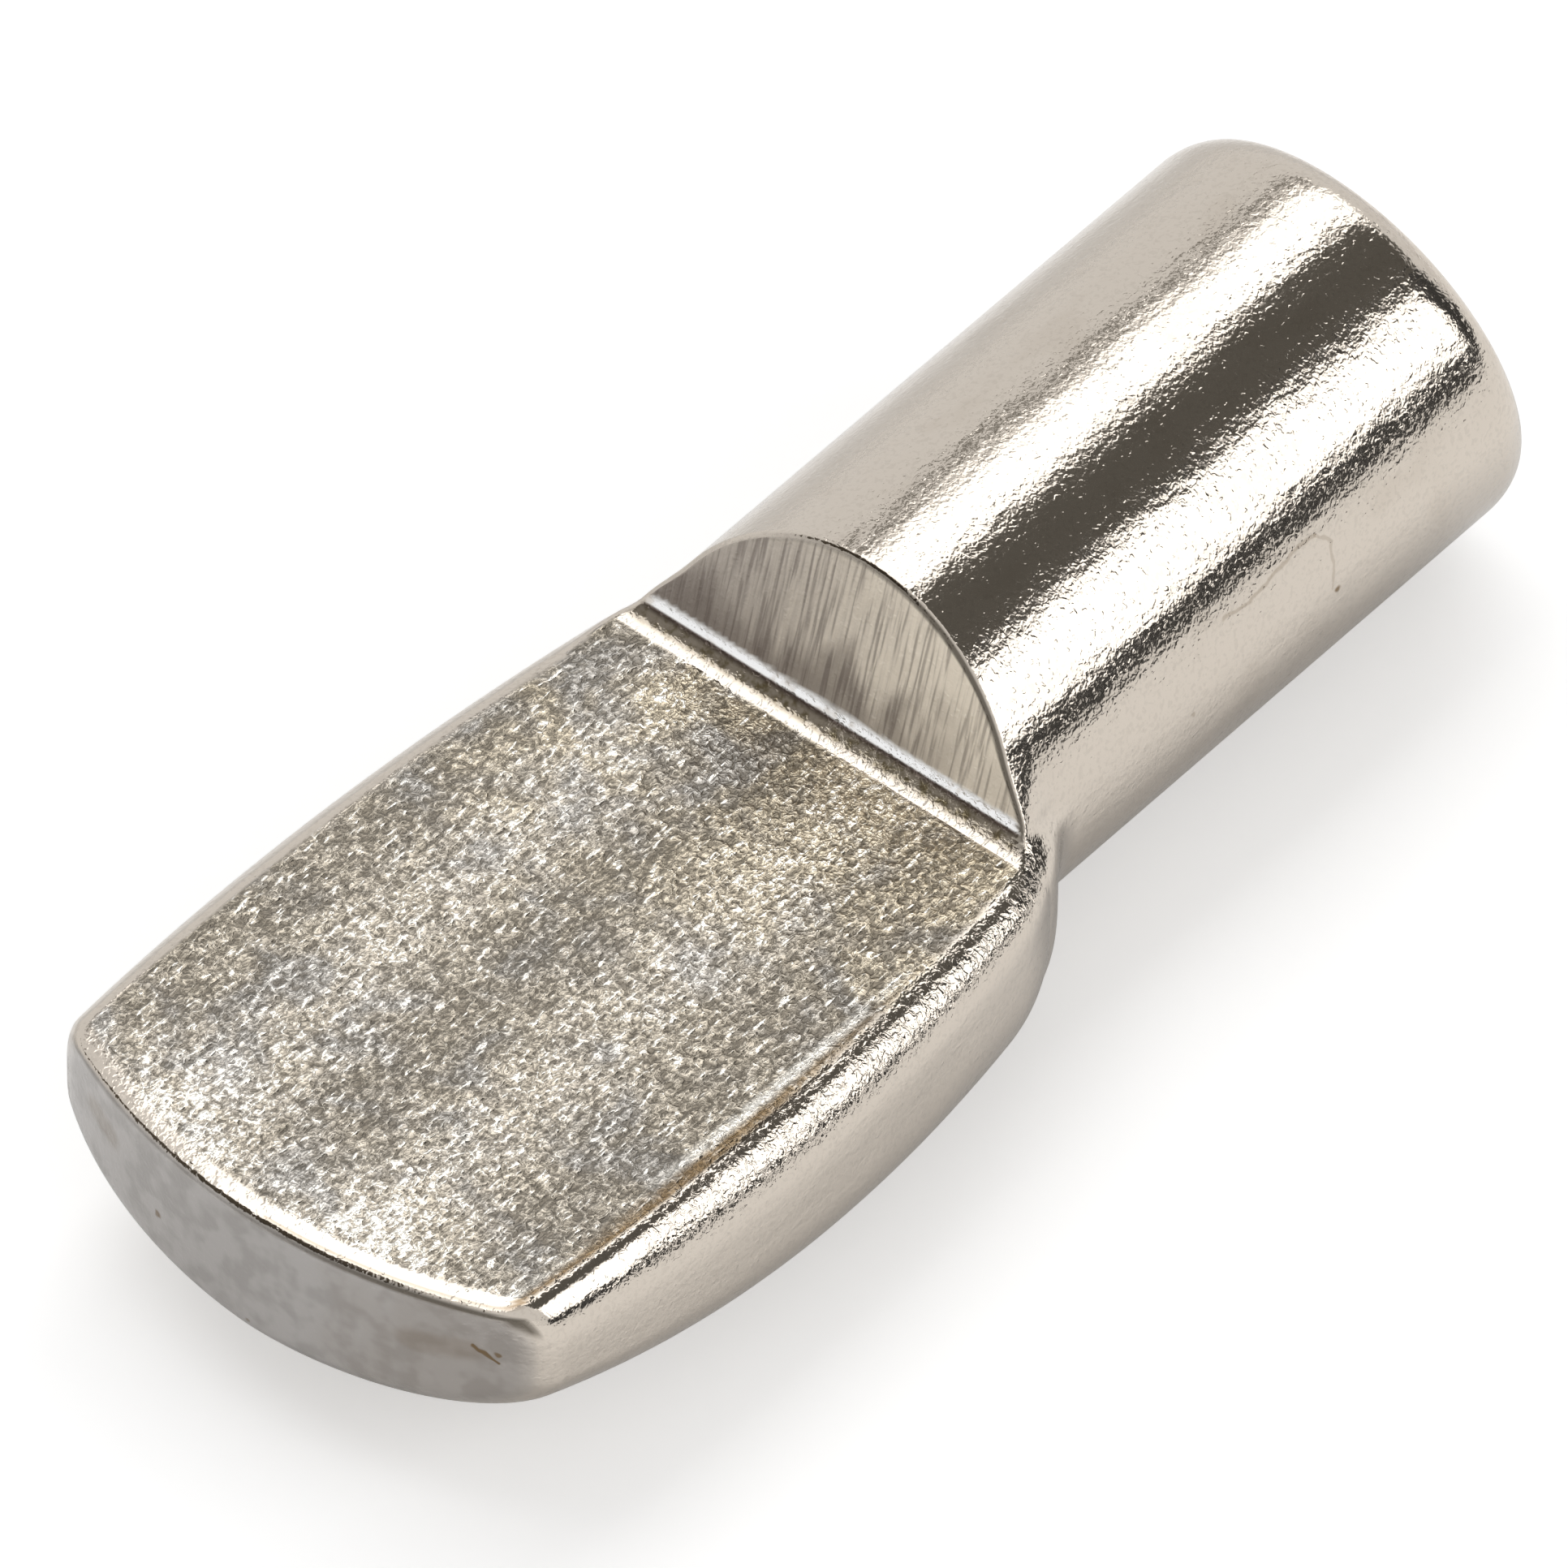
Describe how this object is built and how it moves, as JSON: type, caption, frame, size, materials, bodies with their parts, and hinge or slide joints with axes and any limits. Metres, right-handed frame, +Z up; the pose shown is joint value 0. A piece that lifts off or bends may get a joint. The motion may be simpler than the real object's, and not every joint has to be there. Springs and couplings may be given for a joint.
{
  "type": "shelf support pin",
  "caption": "One-piece steel shelf support pin: a round stem pushes into a drilled 5 mm hole and a flat spoon with a rounded belly carries the shelf.",
  "frame": {"origin": "on the stem's axis, at the seat where the full round of the stem begins", "axes": "+Y along the stem to its free end, into the cabinet side; +Z up, square to the flat that carries the shelf; +X across the flat"},
  "size_m": [0.0072, 0.0179, 0.0051],
  "materials": {
    "nickel_plated_steel": "bright nickel plate over cold-formed steel, tumbled: smooth and finely pitted on the stem, fine grain on the flat"
  },
  "bodies": {
    "root": {"support_pin": "nickel_plated_steel"}
  },
  "joints": []
}
